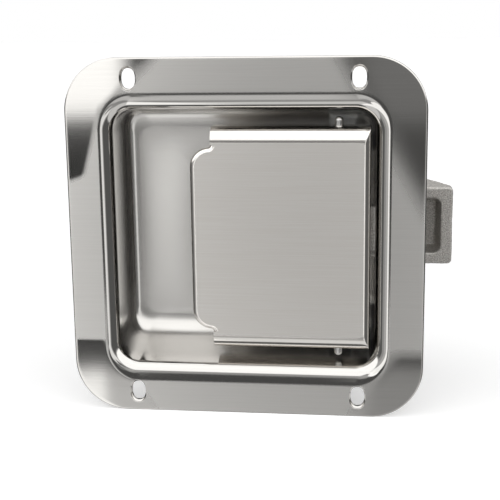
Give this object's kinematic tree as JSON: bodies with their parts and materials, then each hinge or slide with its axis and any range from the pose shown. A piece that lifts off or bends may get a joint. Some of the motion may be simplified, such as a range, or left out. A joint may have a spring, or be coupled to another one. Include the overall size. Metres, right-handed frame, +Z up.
{
  "type": "flush latch",
  "caption": "Flush paddle latch for a cabinet or vehicle door: a stamped steel dish with a folded sheet paddle that draws back a sprung, sloped cast bolt.",
  "frame": {"origin": "centre of the four screw slots on the back face of the flange, which lies on the door", "axes": "+X towards the bolt's tip, +Y back through the door, +Z up; the hinge pin runs along Z"},
  "size_m": [0.1349, 0.0517, 0.126],
  "materials": {
    "pan_stainless": "stamped stainless sheet, brushed flange and polished bends",
    "paddle_stainless": "folded stainless sheet, fine brushing along X",
    "pin_steel": "ground steel rod",
    "bolt_casting": "rough cast steel, bare and grey",
    "bracket_zinc": "zinc-plated pressed sheet",
    "rivet_steel": "zinc-plated steel",
    "spring_steel": "bright spring wire"
  },
  "bodies": {
    "housing": {"pan": "pan_stainless", "hinge_pin": "pin_steel", "hinge_lug_upper": "bracket_zinc", "hinge_lug_lower": "bracket_zinc", "paddle_spring_upper": "spring_steel", "paddle_spring_lower": "spring_steel", "bolt_bracket": "bracket_zinc", "bracket_rivet_1": "rivet_steel", "bracket_rivet_2": "rivet_steel", "bracket_rivet_3": "rivet_steel", "bracket_rivet_4": "rivet_steel", "spring_plate": "bracket_zinc", "plate_rivet_upper": "rivet_steel", "plate_rivet_lower": "rivet_steel", "spring_guide_upper": "rivet_steel", "spring_guide_lower": "rivet_steel", "bolt_spring_upper": "spring_steel", "bolt_spring_lower": "spring_steel"},
    "paddle": {"paddle": "paddle_stainless"},
    "bolt": {"bolt": "bolt_casting", "bolt_stop_pin": "pin_steel"}
  },
  "joints": [
    {"name": "paddle_hinge", "type": "hinge", "parent": "housing", "child": "paddle", "pos_m": [0.0324, 0.0046, 0], "axis": [0, 0, 1], "range_deg": [0, 30], "stiffness_Nm_per_rad": 0.2, "springref_deg": -34.38, "deforming": ["paddle_spring_upper", "paddle_spring_lower"]},
    {"name": "bolt_slide", "type": "slide", "parent": "housing", "child": "bolt", "axis": [-1, 0, 0], "range_m": [0, 0.0114], "stiffness_N_per_m": 300, "springref_m": -0.012, "deforming": ["bolt_spring_upper", "bolt_spring_lower"]}
  ],
  "couplings": [
    {"joint": "bolt_slide", "follows": "paddle_hinge", "m_per_rad": 0.02175}
  ]
}
